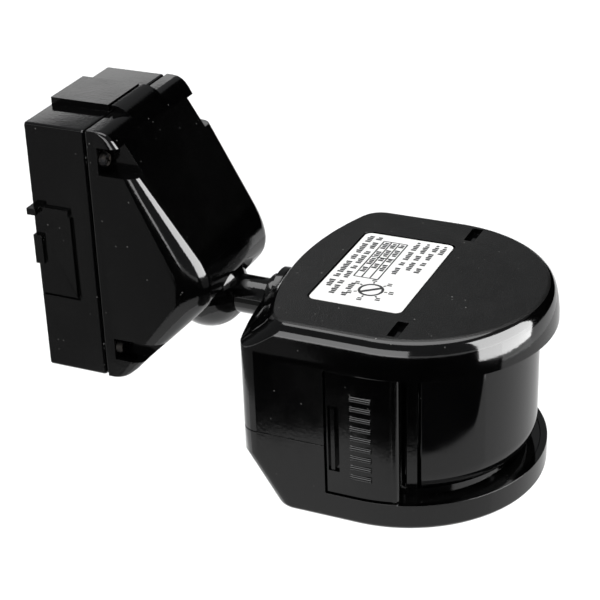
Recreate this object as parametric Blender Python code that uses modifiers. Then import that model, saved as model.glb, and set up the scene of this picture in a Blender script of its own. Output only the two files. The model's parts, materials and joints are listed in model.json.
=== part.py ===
"""Outdoor motion sensor: wall box, wedge cover, ball joint and a wide lens head.

World frame: the origin is the middle of the wall face, +X points away from the wall,
+Y to one side and +Z up. Lengths in this file are millimetres; every mesh and every
location is scaled to metres by MM when it is made. The head's parts are written in a
frame of their own, whose origin is the centre of the round front at the top face.
"""
import math

import bmesh
import bpy
from mathutils import Matrix, Vector

MM = 0.001
GAP = 0.3                    # clearance between pieces that touch

# wall box and wedge cover
BASE_WIDTH = 53.0
BASE_HEIGHT = 86.0
BOX_DEPTH = 21.5
WALL = 2.2                   # general moulding thickness
CABLE_ENTRY_Z = 12.0
CABLE_ENTRY_RADIUS = 8.0
WALL_HOLES_Z = (-32.0, 34.0)
WALL_HOLE_RADIUS = 2.3
PANEL_FRONT = 13.6           # a raised panel on each side, framed by a hood and a groove
PANEL_Z = (-16.0, 13.0)
TERMINAL_LOW = (WALL + GAP, -15.0, -21.0)
TERMINAL_HIGH = (13.0, 15.0, -10.0)
GASKET_GAP = 0.25
GASKET_THICKNESS = 0.4
COVER_START = BOX_DEPTH + GASKET_THICKNESS + 2 * GASKET_GAP
NOSE_X = 58.8                # most forward point of the wedge
NOSE_Z = -8.0
SLOPE_TOP = (31.0, 40.0)     # (x, z) where the long slope leaves the top edge
SLOPE_END = (54.0, 4.5)      # (x, z) where the long slope meets the nose
LOWER_START = (55.5, -16.0)  # (x, z) where the short slope leaves the nose
LOWER_END = (34.0, -37.5)    # (x, z) where the short slope meets the bottom edge
POCKET_WIDTH = 5.6           # screw pockets in the cover's four corners
POCKET_FLOOR = 25.6
UPPER_POCKET = (28.6, 37.8)
LOWER_POCKET = (-36.2, -28.6)
SCREW_Y = BASE_WIDTH / 2 - 2.8
CROWN_HALF = 10.0            # raised block across the middle of the top face
CROWN_RISE = 2.3

# ball joint
BALL = Vector((48.0, 0.0, -18.6))
BALL_RADIUS = 12.7
NECK_RADIUS = 6.3
WIRE_BORE = 4.0
SOCKET_TILT = math.radians(35)   # the socket looks forward and down
NECK_LENGTH = 24.8               # ball centre to the shoulder's front face
NECK_THREAD = 5.4
NECK_SHOULDER = 8.4
CLAMP_Y = 18.5                   # the two clamp screws stand this far to the sides
NECK_SWING = math.radians(25)    # the neck swings this far to each side
NECK_LIFT = math.radians(12)     # and lifts this far above level

# head, in its own frame
HEAD = Vector((117.0, 0.0, -2.0))
HEAD_RADIUS = 44.4
HEAD_HEIGHT = 64.2
VISOR_SHIFT = 2.4            # the visor stands this much further forward
VISOR_BOTTOM = -12.0
REAR_X = -44.0
REAR_SAG = 6.5               # the rear wall is a shallow arc
TOP_SAG = 9.0                # and the top face's rear edge is a rounder one
SEAM_Z = -38.2
TRAY_TOP = -55.6
COLUMN_X = 12.4              # where the door bay ends and the lens frame begins
LENS_RADIUS = 41.0
LENS_THICKNESS = 1.2
LENS_HALF_ANGLE = math.radians(64)
FRAME_INNER = 34.2           # inner radius of the lens frame
FRAME_REACH = math.radians(74)
FRAME_LIP = (-57.6, -55.8)
LABEL_SIZE = (30.0, 49.0)
LABEL_CENTRE_X = -8.3
DOOR_X = (-10.0, 11.8)
DOOR_Z = (-55.0, -12.6)
DOOR_THICKNESS = 1.8
PIN_RADIUS = 0.9
CONTROL_X = -2.6
CONTROL_Y = -HEAD_RADIUS + 12.0
TIME_Z, LIGHT_Z = -24.5, -43.5
CASE_SCREWS = ((-18.0, 33.0), (8.0, 29.0))
POST_FOOT = -59.4            # where the upper posts meet the lower bosses
BOARD_X = 6.4                # front face of the upright circuit board

part = bpy.data.collections.new("motion_sensor")
cutters = bpy.data.collections.new("cutters")


def clear_scene():
    for item in list(bpy.data.objects):
        bpy.data.objects.remove(item)


def plastic(name, colour, roughness, metallic=0.0):
    mat = bpy.data.materials.new(name)
    mat.use_nodes = True
    shader = mat.node_tree.nodes["Principled BSDF"]
    shader.inputs["Base Color"].default_value = (*colour, 1.0)
    shader.inputs["Roughness"].default_value = roughness
    shader.inputs["Metallic"].default_value = metallic
    mat.diffuse_color = (*colour, 1.0)
    return mat


def add_object(name, mesh, mat=None, at=(0, 0, 0), parent=None):
    """Put a mesh in the part, or among the cutters when it has no material."""
    item = bpy.data.objects.new(name, mesh)
    item.location = Vector(at) * MM
    item.parent = parent
    if mat is None:
        cutters.objects.link(item)
        item.hide_render = True
        item.display_type = "WIRE"
    else:
        part.objects.link(item)
        mesh.materials.append(mat)
        mesh.shade_smooth()
        mesh.set_sharp_from_angle(angle=math.radians(35))
    return item


def finish_mesh(name, bm):
    """Scale a bmesh from millimetres to metres and turn its faces outwards."""
    bmesh.ops.scale(bm, vec=(MM, MM, MM), verts=bm.verts)
    bmesh.ops.recalc_face_normals(bm, faces=bm.faces)
    mesh = bpy.data.meshes.new(name)
    bm.to_mesh(mesh)
    bm.free()
    return mesh


def box_mesh(name, low, high):
    bm = bmesh.new()
    bmesh.ops.create_cube(bm, size=1.0)
    size = [b - a for a, b in zip(low, high)]
    centre = [(a + b) / 2 for a, b in zip(low, high)]
    bmesh.ops.scale(bm, vec=size, verts=bm.verts)
    bmesh.ops.translate(bm, vec=centre, verts=bm.verts)
    return finish_mesh(name, bm)


def rod_mesh(name, start, end, radius, sides=24, end_radius=None):
    """A straight round or many-sided rod between two points."""
    start, end = Vector(start), Vector(end)
    axis = end - start
    turn = axis.to_track_quat("Z", "Y").to_matrix().to_4x4()
    bm = bmesh.new()
    bmesh.ops.create_cone(
        bm, cap_ends=True, segments=sides, radius1=radius,
        radius2=radius if end_radius is None else end_radius, depth=axis.length,
        matrix=Matrix.Translation((start + end) / 2) @ turn)
    return finish_mesh(name, bm)


def ball_mesh(name, centre, radius, segments=28, rings=16):
    bm = bmesh.new()
    bmesh.ops.create_uvsphere(bm, u_segments=segments, v_segments=rings, radius=radius,
                              matrix=Matrix.Translation(centre))
    return finish_mesh(name, bm)


def prism_mesh(name, outline, low, high):
    """An outline in X and Y, raised from height low to height high."""
    bm = bmesh.new()
    face = bm.faces.new([bm.verts.new((x, y, low)) for x, y in outline])
    raised = bmesh.ops.extrude_face_region(bm, geom=[face])
    tops = [g for g in raised["geom"] if isinstance(g, bmesh.types.BMVert)]
    bmesh.ops.translate(bm, vec=(0, 0, high - low), verts=tops)
    return finish_mesh(name, bm)


def loft_mesh(name, rings):
    """A closed solid through a stack of rings that have the same number of points."""
    bm = bmesh.new()
    rows = [[bm.verts.new(p) for p in ring] for ring in rings]
    for lower, upper in zip(rows, rows[1:]):
        count = len(lower)
        for i in range(count):
            j = (i + 1) % count
            bm.faces.new((lower[i], lower[j], upper[j], upper[i]))
    bm.faces.new(rows[0][::-1])
    bm.faces.new(rows[-1])
    return finish_mesh(name, bm)


def turned_mesh(name, profile, steps=32):
    """A closed ring or a solid of revolution about Z from (radius, height) points.

    The profile is an outline that runs down its outer side; a Screw modifier on the
    helper object turns it, and the result is read back as a mesh.
    """
    bm = bmesh.new()
    points = [bm.verts.new((r * MM, 0, h * MM)) for r, h in profile]
    closed = all(r > 0 for r, _ in profile)
    last = len(points) if closed else len(points) - 1
    for i in range(last):
        bm.edges.new((points[i], points[(i + 1) % len(points)]))
    outline = bpy.data.meshes.new(name + "_profile")
    bm.to_mesh(outline)
    bm.free()
    helper = bpy.data.objects.new(name + "_profile", outline)
    bpy.context.scene.collection.objects.link(helper)
    screw = helper.modifiers.new("turn", "SCREW")
    screw.steps = steps
    screw.render_steps = steps
    screw.use_merge_vertices = True
    screw.merge_threshold = 0.00001
    bpy.context.view_layer.update()
    mesh = bpy.data.meshes.new_from_object(
        helper.evaluated_get(bpy.context.evaluated_depsgraph_get()))
    mesh.name = name
    bpy.data.objects.remove(helper)
    bm = bmesh.new()
    bm.from_mesh(mesh)
    bmesh.ops.remove_doubles(bm, verts=bm.verts, dist=0.00001)
    bmesh.ops.recalc_face_normals(bm, faces=bm.faces)
    bm.to_mesh(mesh)
    bm.free()
    return mesh


def turn_mesh(mesh, axis, centre=(0, 0, 0)):
    """Stand a turned mesh, made about Z, on another axis through a centre."""
    turn = Vector(axis).to_track_quat("Z", "Y").to_matrix().to_4x4()
    mesh.transform(Matrix.Translation(Vector(centre) * MM) @ turn)
    return mesh


def combine(item, mesh, operation):
    """Boolean a mesh into an object; the tool shares the object's parent and place."""
    tool = add_object(item.name + "_tool", mesh, parent=item.parent)
    tool.location = item.location
    step = item.modifiers.new(operation.lower(), "BOOLEAN")
    step.operation = operation
    step.solver = "EXACT"
    step.object = tool


def cut(item, mesh):
    combine(item, mesh, "DIFFERENCE")


def fuse(item, mesh):
    combine(item, mesh, "UNION")


def round_edges(item, width, segments=2, angle=50):
    bevel = item.modifiers.new("rounded", "BEVEL")
    bevel.width = width * MM
    bevel.segments = segments
    bevel.limit_method = "ANGLE"
    bevel.angle_limit = math.radians(angle)


def span(a, b):
    """Two bounds in rising order."""
    return min(a, b), max(a, b)


def side_box(name, side, inner, outer, low, high):
    """A box on one side (+1 or -1): inner and outer are distances from the middle plane."""
    start, end = span(side * inner, side * outer)
    return box_mesh(name, (low[0], start, low[1]), (high[0], end, high[1]))


def screw_places():
    """Where the four cover screws stand, as (y, z)."""
    middles = (sum(UPPER_POCKET) / 2, sum(LOWER_POCKET) / 2)
    return [(y, z) for z in middles for y in (-SCREW_Y, SCREW_Y)]


def empty(name, at, parent=None):
    frame = bpy.data.objects.new(name, None)
    frame.location = Vector(at) * MM
    frame.parent = parent
    part.objects.link(frame)
    return frame


def socket_axis():
    return Vector((math.cos(SOCKET_TILT), 0, -math.sin(SOCKET_TILT)))


def along_socket(distance, y=0.0):
    """A point on the socket's axis, at a distance in front of the ball's centre."""
    point = BALL + socket_axis() * distance
    return Vector((point.x, y, point.z))


def arc(centre_x, radius, start, end, steps):
    """Points of a circle about (centre_x, 0), from angle start to angle end."""
    points = []
    for i in range(steps + 1):
        a = start + (end - start) * i / steps
        points.append((centre_x + radius * math.cos(a), radius * math.sin(a)))
    return points


def ring_sector(inner, outer, start, end, steps=24):
    """The outline of a piece of a flat ring about the origin."""
    return arc(0, outer, start, end, steps) + arc(0, inner, end, start, steps)


# ---------------------------------------------------------------- fasteners

def pan_screw(name, start, direction, head_radius, head_height, shank_radius, length,
              mat, parent=None, at=(0, 0, 0), crossed=True):
    """A screw whose head's underside is at start, with its shank along direction."""
    profile = [
        (0, head_height), (head_radius * 0.8, head_height),
        (head_radius, head_height * 0.55), (head_radius, 0), (shank_radius, 0),
        (shank_radius, -length), (0, -length - shank_radius * 0.8)]
    mesh = turned_mesh(name, profile, steps=12)
    turn_mesh(mesh, -Vector(direction), start)
    screw = add_object(name, mesh, mat, at=at, parent=parent)
    top = Vector(start) - Vector(direction) * head_height
    across = Vector(direction).orthogonal().normalized()
    side = Vector(direction).cross(across).normalized()
    reach = head_radius * 0.6
    bars = ((across, side), (side, -across))
    for bar, other in bars if crossed else bars[:1]:
        turn = Matrix((bar, other, Vector(direction))).transposed().to_4x4()
        slot = box_mesh(name + "_slot", (-reach, -head_radius * 0.13, -0.4),
                        (reach, head_radius * 0.13, head_height * 0.55))
        slot.transform(Matrix.Translation(top * MM) @ turn)
        cut(screw, slot)
    return screw


# ---------------------------------------------------------------- wall box

def make_wall_box(mat):
    half_y, half_z = BASE_WIDTH / 2, BASE_HEIGHT / 2
    box = add_object("wall_box", box_mesh(
        "wall_box", (0, -half_y, -half_z), (BOX_DEPTH, half_y, half_z)), mat)
    round_edges(box, 0.9)
    fuse(box, box_mesh("crown", (0.4, -CROWN_HALF, half_z - 1),
                       (BOX_DEPTH - 0.4, CROWN_HALF, half_z + CROWN_RISE)))
    inner_y, inner_z = half_y - WALL, half_z - WALL
    cut(box, box_mesh("cavity", (WALL, -inner_y, -inner_z),
                      (BOX_DEPTH + 2, inner_y, inner_z)))
    foot, top = PANEL_Z
    for side in (-1, 1):
        fuse(box, side_box("hood", side, half_y - 1, half_y + 1.3, (0.0, top),
                           (PANEL_FRONT, top + 2.2)))
        fuse(box, side_box("spike", side, half_y - 1, half_y + 3.4, (0.0, top), (3.2, top + 2.2)))
        fuse(box, side_box("tab", side, half_y - 1, half_y + 1.2, (0.0, -5.0), (3.0, 5.0)))
        cut(box, side_box("groove", side, half_y - 1, half_y + 1, (PANEL_FRONT, foot),
                          (PANEL_FRONT + 1, top - 0.1)))
        cut(box, side_box("groove", side, half_y - 1, half_y + 1, (1.2, foot - 0.8),
                          (PANEL_FRONT + 1, foot)))
    for y, z in screw_places():
        fuse(box, rod_mesh("boss", (1.0, y, z), (BOX_DEPTH, y, z), 2.6))
        cut(box, rod_mesh("pilot", (8.0, y, z), (BOX_DEPTH + 1, y, z), 1.45, sides=12))
    cut(box, rod_mesh("cable_entry", (-1, 0, CABLE_ENTRY_Z), (4, 0, CABLE_ENTRY_Z),
                      CABLE_ENTRY_RADIUS))
    for z in WALL_HOLES_Z:
        cut(box, rod_mesh("wall_hole", (-1, 0, z), (4, 0, z), WALL_HOLE_RADIUS, sides=16))


def make_cable_grommet(mat):
    groove, bore, lip = CABLE_ENTRY_RADIUS - GAP, 4.5, 10.0
    profile = [(bore, 5.0), (lip - 1.6, 5.0), (lip, WALL + GAP), (groove, WALL + GAP),
               (groove, 0.4), (bore + 1, 0.1), (bore, 0.4)]
    mesh = turned_mesh("cable_grommet", profile, steps=24)
    add_object("cable_grommet", turn_mesh(mesh, (1, 0, 0), (0, 0, CABLE_ENTRY_Z)), mat)


def make_terminals(body_mat, screw_mat):
    """A three-pole connector block on the box floor, below the cable entry."""
    block = add_object("terminal_block",
                       box_mesh("terminal_block", TERMINAL_LOW, TERMINAL_HIGH), body_mat)
    below, above = TERMINAL_LOW[2] - 1, TERMINAL_HIGH[2] + 1
    middle = (below + above) / 2
    for index, y in enumerate((-9.5, 0.0, 9.5), start=1):
        cut(block, rod_mesh("screw_well", (8.0, y, middle), (14.0, y, middle), 2.6, sides=16))
        cut(block, rod_mesh("wire_way", (6.0, y, below), (6.0, y, above), 1.3, sides=12))
        pan_screw(f"terminal_screw_{index}", (9.8, y, middle), (-1, 0, 0), 2.2, 1.4, 1.0,
                  0.9, screw_mat, crossed=False)
    for y in (-4.75, 4.75):
        cut(block, box_mesh("web_slot", (9.0, y - 0.6, below), (14.0, y + 0.6, above)))


def make_base_gasket(mat):
    """A flat frame in the seam, with a hole for each cover screw."""
    x = BOX_DEPTH + GASKET_GAP
    outer_y, outer_z = BASE_WIDTH / 2 - 0.7, BASE_HEIGHT / 2 - 0.7
    gasket = add_object("base_gasket", box_mesh(
        "base_gasket", (x, -outer_y, -outer_z), (x + GASKET_THICKNESS, outer_y, outer_z)), mat)
    cut(gasket, box_mesh("window", (x - 1, -17.5, -outer_z + 3), (x + 1.5, 17.5, outer_z - 3)))
    for y, z in screw_places():
        cut(gasket, rod_mesh("hole", (x - 1, y, z), (x + 2, y, z), 1.6, sides=12))


# ---------------------------------------------------------------- wedge cover

def cover_levels(inset):
    """(height, front x, corner width, corner depth) down the wedge, at a wall inset."""
    top = BASE_HEIGHT / 2
    levels = [(top, 26.0), (top - 0.7, 28.6), (SLOPE_TOP[1], SLOPE_TOP[0])]
    for i in range(1, 5):
        t = i / 4
        levels.append((SLOPE_TOP[1] + (SLOPE_END[1] - SLOPE_TOP[1]) * t,
                       SLOPE_TOP[0] + (SLOPE_END[0] - SLOPE_TOP[0]) * t))
    levels += [(0.2, 56.6), (NOSE_Z + 4, 58.2), (NOSE_Z, NOSE_X), (NOSE_Z - 4, 58.1),
               LOWER_START[::-1]]
    for i in range(1, 4):
        t = i / 3
        levels.append((LOWER_START[1] + (LOWER_END[1] - LOWER_START[1]) * t,
                       LOWER_START[0] + (LOWER_END[0] - LOWER_START[0]) * t))
    levels += [(-top + 2.6, 31.2), (-top + 0.7, 28.6), (-top, 26.0)]
    result = []
    for z, front in levels:
        swell = min(1.0, max(0.0, (front - 28.0) / 28.0))
        depth = 2.0 + 8.0 * swell
        width = 1.2 + 6.0 * swell
        squeeze = (top - inset) / top
        result.append((z * squeeze, front - inset * 1.15, width, depth))
    return result


def cover_solid(name, inset, back):
    """The wedge as a closed solid: straight sides, and corners that widen to the nose."""
    half = BASE_WIDTH / 2 - inset
    rings = []
    for z, front, width, depth in cover_levels(inset):
        corner = []
        for i in range(7):
            a = math.pi / 2 * i / 6
            corner.append((front - depth + depth * math.sin(a), half - width + width * math.cos(a)))
        far = [(x, y, z) for x, y in corner]
        near = [(x, -y, z) for x, y in reversed(corner)]
        rings.append([(back, half, z)] + far + near + [(back, -half, z)])
    return loft_mesh(name, rings)


def make_base_cover(mat):
    cover = add_object("base_cover", cover_solid("base_cover", 0.0, COVER_START), mat)
    half_y, half_z = BASE_WIDTH / 2, BASE_HEIGHT / 2
    crown_foot = half_z - 3.0
    outline = [(COVER_START, crown_foot)]
    for x, y in arc(0.0, 1.0, 0.0, math.pi / 2, 8):
        outline.append((COVER_START + 7.2 * x, crown_foot + (3.0 + CROWN_RISE) * y))
    hood = prism_mesh("hood", outline, -CROWN_HALF, CROWN_HALF)
    hood.transform(Matrix.Rotation(math.pi / 2, 4, "X"))
    fuse(cover, hood)
    hollow = add_object("cover_hollow", cover_solid("cover_hollow", WALL, COVER_START - 1))
    pocket_side = half_y - POCKET_WIDTH
    skin = 1.8
    for side in (-1, 1):
        for low, high in (UPPER_POCKET, LOWER_POCKET):
            cut(hollow, side_box("post", side, pocket_side - skin, half_y + 1,
                                 (COVER_START - 2, low - skin), (NOSE_X, high + skin)))
    remove_hollow = cover.modifiers.new("hollow", "BOOLEAN")
    remove_hollow.operation = "DIFFERENCE"
    remove_hollow.solver = "EXACT"
    remove_hollow.object = hollow
    for side in (-1, 1):
        for low, high in (UPPER_POCKET, LOWER_POCKET):
            cut(cover, side_box("pocket", side, pocket_side, half_y + 2, (POCKET_FLOOR, low),
                                (NOSE_X + 4, high)))
        y = side * CLAMP_Y
        fuse(cover, rod_mesh("clamp_boss", along_socket(-6.4, y), along_socket(1.6, y), 2.6,
                             sides=16))
        cut(cover, rod_mesh("clamp_pilot", along_socket(-7.4, y), along_socket(-1.0, y), 1.2,
                            sides=12))
    for y, z in screw_places():
        cut(cover, rod_mesh("screw_hole", (COVER_START - 2, y, z), (POCKET_FLOOR + 1, y, z), 1.6,
                            sides=12))
    cut(cover, ball_mesh("ball_seat", BALL, BALL_RADIUS + GAP))
    for step in range(-3, 4):
        swing = NECK_SWING * step / 3
        path = Vector((math.cos(swing), math.sin(swing), math.tan(NECK_LIFT))).normalized()
        cut(cover, rod_mesh("neck_path", BALL, BALL + path * 26, NECK_RADIUS + 0.6))


def make_cover_screws(mat):
    for number, (y, z) in enumerate(screw_places(), start=1):
        pan_screw(f"cover_screw_{number}", (POCKET_FLOOR + 0.2, y, z), (-1, 0, 0),
                  2.4, 2.0, 1.2, 14.0, mat)


# ---------------------------------------------------------------- ball joint

def make_clamp_cup(mat, screw_mat):
    """The inner half of the socket, screwed up against the ball from inside."""
    seat = BALL_RADIUS + GAP
    heights = (-3.5, -5.0, -6.5, -8.0, -9.0)
    hollow = [(math.sqrt(seat * seat - h * h), h) for h in reversed(heights)]
    profile = hollow + [(14.2, -3.5), (15.0, -6.9), (15.0, -10.6), (hollow[0][0], -10.6)]
    mesh = turned_mesh("clamp_cup", profile[::-1], steps=28)
    cup = add_object("clamp_cup", turn_mesh(mesh, socket_axis(), BALL), mat)
    back, front = -9.2, -6.9
    for index, side in enumerate((-1, 1), start=1):
        y = side * CLAMP_Y
        fuse(cup, rod_mesh("ear", along_socket(back, y), along_socket(front, y), 3.6))
        bridge = side_box("bridge", side, 13.5, CLAMP_Y, (-2.4, back), (2.4, front))
        fuse(cup, turn_mesh(bridge, socket_axis(), BALL))
        cut(cup, rod_mesh("ear_hole", along_socket(-12, y), along_socket(-5, y), 1.5, sides=12))
        pan_screw(f"clamp_screw_{index}", along_socket(back - 0.2, y), socket_axis(),
                  2.4, 1.6, 1.0, 7.0, screw_mat)


def make_ball(mat, frame):
    ball = add_object("pivot_ball", ball_mesh("pivot_ball", (0, 0, 0), BALL_RADIUS), mat,
                      parent=frame)
    cut(ball, rod_mesh("wire_bore", (-20, 0, 0), (20, 0, 0), WIRE_BORE))


def make_neck(mat, nut_mat, frame, head_frame):
    """A hollow neck that follows the ball's curve at one end and threads into the head."""
    seat = BALL_RADIUS + GAP
    radii = (WIRE_BORE, 4.8, 5.6, NECK_RADIUS)
    cup = [(r, math.sqrt(seat * seat - r * r)) for r in radii]
    tip = NECK_LENGTH + 7.5
    profile = [
        (NECK_THREAD, tip), (NECK_THREAD, NECK_LENGTH), (NECK_SHOULDER, NECK_LENGTH),
        (NECK_SHOULDER, NECK_LENGTH - 1.8), (NECK_SHOULDER - 0.8, NECK_LENGTH - 2.6),
        (NECK_RADIUS, NECK_LENGTH - 2.6)] + cup[::-1] + [(WIRE_BORE, tip)]
    mesh = turned_mesh("ball_neck", profile, steps=24)
    add_object("ball_neck", turn_mesh(mesh, (1, 0, 0)), mat, parent=frame)
    wall_inside = HEAD.x + REAR_X + WALL + 0.8 + GAP - BALL.x
    hexagon = rod_mesh("neck_nut", (wall_inside, 0, 0), (wall_inside + 3.4, 0, 0), 8.2, sides=6)
    nut = add_object("neck_nut", hexagon, nut_mat, parent=head_frame)
    cut(nut, rod_mesh("nut_thread", (wall_inside - 1, 0, 0), (wall_inside + 5, 0, 0),
                      NECK_THREAD + GAP))


# ---------------------------------------------------------------- head casing

def head_outline(inset, rear_x, rear_sag, shift=0.0, corner=5.0):
    """The head from above: round front, straight sides, rounded corners, arched rear."""
    radius = HEAD_RADIUS - inset
    front = arc(shift, radius, -math.pi / 2, math.pi / 2, 28)
    rear_radius = (radius ** 2 + rear_sag ** 2) / (2 * rear_sag)
    corner_x = rear_x + rear_sag
    far = [(corner_x + corner, radius), (corner_x + corner * 0.35, radius - corner * 0.12),
           (corner_x - 0.2, radius - corner * 0.45)]
    back = []
    start_y = radius - corner
    for i in range(11):
        y = start_y - 2 * start_y * i / 10
        sag = rear_radius - math.sqrt(rear_radius ** 2 - y ** 2)
        back.append((rear_x + sag, y))
    near = [(x, -y) for x, y in reversed(far)]
    return front + far + back + near


def head_solid(name, inset, extra_top=0.0):
    """The whole head as one closed form; the shells are cut from it."""
    foot_x = REAR_X + 10.5
    levels = (
        (0.0, 3.8, -36.0, TOP_SAG), (-0.5, 2.2, -36.5, TOP_SAG), (-1.6, 0.8, -37.3, TOP_SAG),
        (-3.4, 0.0, -38.8, TOP_SAG - 0.5), (-9.6, 0.0, REAR_X, REAR_SAG),
        (VISOR_BOTTOM, 0.0, REAR_X, REAR_SAG), (-46.5, 0.0, REAR_X, REAR_SAG),
        (-62.8, 0.0, foot_x, REAR_SAG), (-63.8, 0.5, foot_x + 0.8, REAR_SAG),
        (-HEAD_HEIGHT, 1.5, foot_x + 1.6, REAR_SAG))
    rings = []
    for z, step, rear_x, sag in levels:
        if inset:
            z = max(min(z, -inset - extra_top), -HEAD_HEIGHT + inset)
        shift = VISOR_SHIFT if z >= VISOR_BOTTOM else 0.0
        outline = head_outline(inset + step, rear_x + inset, sag, shift)
        rings.append([(x, y, z) for x, y in outline])
        if abs(z - VISOR_BOTTOM) < 1e-6:
            outline = head_outline(inset + step, rear_x + inset, sag)
            rings.append([(x, y, z - 0.05) for x, y in outline])
    heights = [ring[0][2] for ring in rings]
    kept = [ring for i, ring in enumerate(rings) if i == 0 or heights[i] < heights[i - 1] - 0.01]
    return loft_mesh(name, kept)


def front_window(name, low, high):
    """The space in front of the column line, between two heights."""
    return box_mesh(name, (COLUMN_X, -60, low), (70, 60, high))


def door_bay(name, clearance=0.0):
    """The upright opening for the adjustment door, on the near side."""
    return box_mesh(name, (DOOR_X[0] - clearance, -60, DOOR_Z[0] - clearance),
                    (COLUMN_X + 1, -HEAD_RADIUS + 7.0, DOOR_Z[1] + clearance))


def door_hinge():
    """Where the door's pin stands, just inside the door's front edge."""
    return Vector((DOOR_X[1] - 1.2, -math.sqrt((HEAD_RADIUS - 2.2) ** 2 - DOOR_X[1] ** 2), 0))


def pin_hole():
    hinge = door_hinge()
    return rod_mesh("pin_hole", (hinge.x, hinge.y, DOOR_Z[0] - 1.9),
                    (hinge.x, hinge.y, DOOR_Z[1] + 1.9), PIN_RADIUS + GAP, sides=16)


def case_screw_places():
    """Where the four case screws stand, as (x, y) in the head's frame."""
    return [(x, side * y) for x, y in CASE_SCREWS for side in (-1, 1)]


def make_top_shell(mat, frame, place):
    shell = add_object("top_shell", head_solid("top_shell", 0.0), mat, at=place, parent=frame)
    cut(shell, box_mesh("below_seam", (-70, -70, -90), (70, 70, SEAM_Z)))
    cut(shell, head_solid("inside", WALL, extra_top=0.3))
    cut(shell, front_window("lens_window", -90, VISOR_BOTTOM))
    cut(shell, door_bay("door_bay", GAP))
    cut(shell, pin_hole())
    length, width = LABEL_SIZE
    cut(shell, box_mesh("label_recess", (LABEL_CENTRE_X - length / 2 - 0.6, -width / 2 - 0.6, -0.7),
                        (LABEL_CENTRE_X + length / 2 + 0.6, width / 2 + 0.6, 1)))
    for side in (-1, 1):
        ends = sorted((side * 29.2, side * 38.6))
        cut(shell, box_mesh("latch_slot", (7.9, ends[0], -1.8), (11.4, ends[1], 1)))
    seat = Vector((BALL.x - HEAD.x, 0, BALL.z - HEAD.z))
    fuse(shell, rod_mesh("neck_seat", (REAR_X + 0.6, 0, seat.z),
                         (REAR_X + WALL + 0.8, 0, seat.z), 11.0))
    cut(shell, rod_mesh("neck_hole", (REAR_X - 2, 0, seat.z), (REAR_X + 5, 0, seat.z),
                        NECK_THREAD + 0.4))
    cut(shell, rod_mesh("shoulder_seat", (REAR_X - 2, 0, seat.z),
                        (seat.x + NECK_LENGTH + GAP, 0, seat.z), NECK_SHOULDER + 0.6))
    for x, y in case_screw_places():
        fuse(shell, rod_mesh("post", (x, y, POST_FOOT), (x, y, -1.5), 3.0, sides=16))
        cut(shell, rod_mesh("post_pilot", (x, y, POST_FOOT - 1), (x, y, POST_FOOT + 10), 1.25,
                            sides=12))


def make_bottom_shell(mat, frame, place):
    shell = add_object("bottom_shell", head_solid("bottom_shell", 0.0), mat, at=place,
                       parent=frame)
    cut(shell, box_mesh("above_seam", (-70, -70, SEAM_Z - GAP), (70, 70, 10)))
    cut(shell, head_solid("inside", WALL))
    cut(shell, front_window("lens_window", TRAY_TOP, 10))
    cut(shell, door_bay("door_bay", GAP))
    cut(shell, pin_hole())
    floor = -HEAD_HEIGHT - 5
    for x, y in case_screw_places():
        fuse(shell, rod_mesh("foot", (x, y, -HEAD_HEIGHT + 1), (x, y, POST_FOOT - 0.4), 3.6,
                             sides=16))
        cut(shell, rod_mesh("hole", (x, y, floor), (x, y, POST_FOOT), 1.6, sides=12))
        cut(shell, rod_mesh("counterbore", (x, y, floor), (x, y, POST_FOOT - 2.4), 2.8, sides=16))


def make_case_screws(mat, frame, place):
    for number, (x, y) in enumerate(case_screw_places(), start=1):
        pan_screw(f"case_screw_{number}", (x, y, POST_FOOT - 2.6), (0, 0, 1), 2.5, 1.6, 1.1,
                  10.0, mat, parent=frame, at=place)


def make_lens(mat, frame, place):
    """A dark cylindrical window that tucks under at its lower edge."""
    mid = LENS_RADIUS - LENS_THICKNESS / 2
    profile = [(mid, VISOR_BOTTOM - GAP - 0.1), (mid, -47.0), (mid - 0.5, -49.6),
               (mid - 1.7, -51.8), (mid - 3.4, -53.4)]
    mesh = bpy.data.meshes.new("lens")
    bm = bmesh.new()
    row = [bm.verts.new((r * MM, 0, z * MM)) for r, z in profile]
    edges = [bm.edges.new(pair) for pair in zip(row, row[1:])]
    bmesh.ops.rotate(bm, verts=bm.verts, matrix=Matrix.Rotation(-LENS_HALF_ANGLE, 3, "Z"))
    bmesh.ops.spin(bm, geom=row + edges, axis=(0, 0, 1), cent=(0, 0, 0),
                   angle=2 * LENS_HALF_ANGLE, steps=28)
    bmesh.ops.recalc_face_normals(bm, faces=bm.faces)
    bm.to_mesh(mesh)
    bm.free()
    lens = add_object("lens", mesh, mat, at=place, parent=frame)
    shell = lens.modifiers.new("thickness", "SOLIDIFY")
    shell.thickness = LENS_THICKNESS * MM
    shell.offset = 0.0
    shell.use_even_offset = True


def make_lens_frame(mat, frame, place):
    """A lower ring and two uprights that hold the lens's edges."""
    top = VISOR_BOTTOM - GAP
    outer = LENS_RADIUS - LENS_THICKNESS - 3.6
    item = add_object("lens_frame", prism_mesh(
        "lens_frame", ring_sector(FRAME_INNER, outer, -FRAME_REACH, FRAME_REACH), -60.8, -54.6),
        mat, at=place, parent=frame)
    lip = ring_sector(FRAME_INNER + 0.5, LENS_RADIUS + 1, -FRAME_REACH, FRAME_REACH)
    fuse(item, prism_mesh("lip", lip, *FRAME_LIP))
    sectors = ((35.2, 41.2, 65.4, 70.0), (FRAME_INNER, 35.8, 59.0, 70.0))
    for side in (-1, 1):
        for inner, outer, start, end in sectors:
            sector = ring_sector(inner, outer, *(math.radians(side * a) for a in (start, end)), 4)
            fuse(item, prism_mesh("upright", sector, FRAME_LIP[0] + 0.6, top))


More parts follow.
